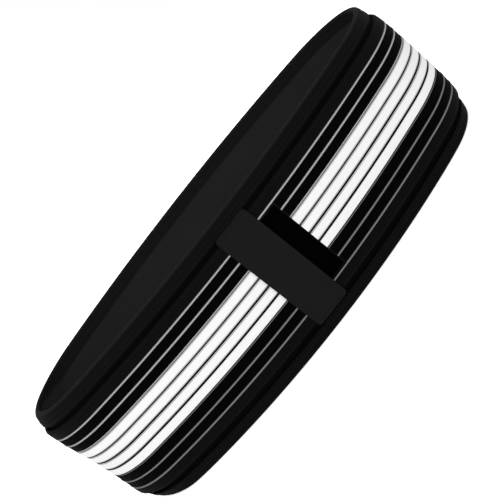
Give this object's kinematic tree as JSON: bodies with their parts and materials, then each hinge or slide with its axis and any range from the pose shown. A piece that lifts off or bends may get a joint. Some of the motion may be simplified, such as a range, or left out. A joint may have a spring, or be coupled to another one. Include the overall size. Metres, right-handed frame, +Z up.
{
  "type": "elastic support belt",
  "caption": "Wide padded elastic support belt closed into a flattened ring, with taped rims, woven stripes, a slotted front flap with a keeper bar and a hook and loop tongue.",
  "frame": {"origin": "under the middle of the ring, in the plane of the lower rim that it stands on", "axes": "+Z up along the wearer's axis, +X along the ring's long axis, the front with the keeper bar towards -Y"},
  "size_m": [0.345, 0.1622, 0.1],
  "materials": {
    "lining_knit": "smooth charcoal knit",
    "foam": "closed-cell foam",
    "cover_knit": "black knit",
    "binding_tape": "black twill tape",
    "black_webbing": "ribbed black elastic",
    "white_yarn": "white woven stripe",
    "grey_yarn": "light grey woven line",
    "bar_tape": "black woven tape",
    "thread": "black sewing thread",
    "loop_pile": "black loop pile",
    "hook_tape": "black moulded hooks",
    "tongue_webbing": "black flat webbing"
  },
  "bodies": {
    "ring": {"ring_bottom_binding": "binding_tape", "ring_bottom_stitching": "thread", "ring_cover": "cover_knit", "ring_fine_line_1": "grey_yarn", "ring_fine_line_2": "grey_yarn", "ring_fine_line_3": "grey_yarn", "ring_fine_line_4": "grey_yarn", "ring_foam_core": "foam", "ring_lining": "lining_knit", "ring_loop_patch": "loop_pile", "ring_top_binding": "binding_tape", "ring_top_stitching": "thread", "ring_webbing": "black_webbing", "ring_webbing_stitching": "thread", "ring_white_rib_1": "white_yarn", "ring_white_rib_2": "white_yarn", "ring_white_rib_3": "white_yarn", "ring_white_rib_4": "white_yarn", "tail_end_tape": "binding_tape", "tongue_anchor": "tongue_webbing"},
    "flap": {"flap_bottom_binding": "binding_tape", "flap_bottom_stitching": "thread", "flap_cover": "cover_knit", "flap_fine_line_1": "grey_yarn", "flap_fine_line_2": "grey_yarn", "flap_fine_line_3": "grey_yarn", "flap_fine_line_4": "grey_yarn", "flap_foam_core": "foam", "flap_lining": "lining_knit", "flap_loop_patch": "loop_pile", "flap_top_binding": "binding_tape", "flap_top_stitching": "thread", "flap_webbing": "black_webbing", "flap_webbing_stitching": "thread", "flap_white_rib_1": "white_yarn", "flap_white_rib_2": "white_yarn", "flap_white_rib_3": "white_yarn", "flap_white_rib_4": "white_yarn", "keeper_bar": "bar_tape", "keeper_bar_stitching": "thread", "slot_facing": "binding_tape"},
    "tongue": {"tongue_hook_patch": "hook_tape", "tongue_strap": "tongue_webbing"}
  },
  "joints": [
    {"name": "flap_peel", "type": "hinge", "parent": "ring", "child": "flap", "pos_m": [0.06233, -0.07486, 0.05], "axis": [0, 0, 1], "range_deg": [0, 120]},
    {"name": "tongue_peel", "type": "hinge", "parent": "ring", "child": "tongue", "pos_m": [-0.0065, -0.07172, 0.05], "axis": [0, 0, 1], "range_deg": [0, 70]}
  ]
}
